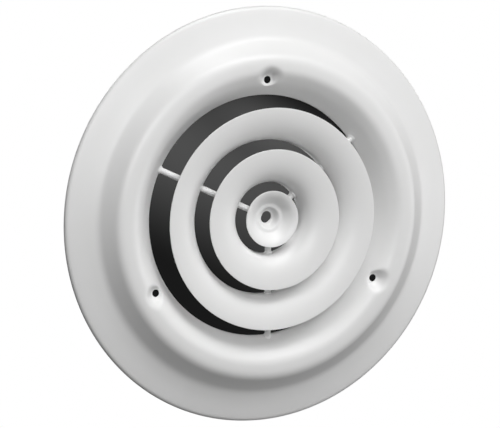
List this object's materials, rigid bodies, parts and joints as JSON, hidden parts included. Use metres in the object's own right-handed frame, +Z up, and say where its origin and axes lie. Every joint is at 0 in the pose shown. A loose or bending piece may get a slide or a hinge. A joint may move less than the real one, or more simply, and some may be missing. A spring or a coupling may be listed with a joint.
{
  "type": "ceiling air diffuser",
  "caption": "Round step-down ceiling diffuser: a pressed frame that screws over a round duct, with concentric trumpet-shaped rings on rods to spread the supply air.",
  "frame": {"origin": "on the diffuser's axis, in the ceiling plane that the rim's back edge rests against", "axes": "+Z up along the axis, into the duct; the face looks down, along -Z; -Y is through one of the three screw holes"},
  "size_m": [0.346, 0.346, 0.0315],
  "materials": {
    "painted_sheet": "white semi-gloss baked paint on pressed sheet steel",
    "painted_rod": "white semi-gloss baked paint on steel rod"
  },
  "bodies": {
    "root": {"frame": "painted_sheet", "outer_cone": "painted_sheet", "middle_cone": "painted_sheet", "centre_cone": "painted_sheet", "support_rod_1": "painted_rod", "support_rod_2": "painted_rod", "support_rod_3": "painted_rod"}
  },
  "joints": []
}
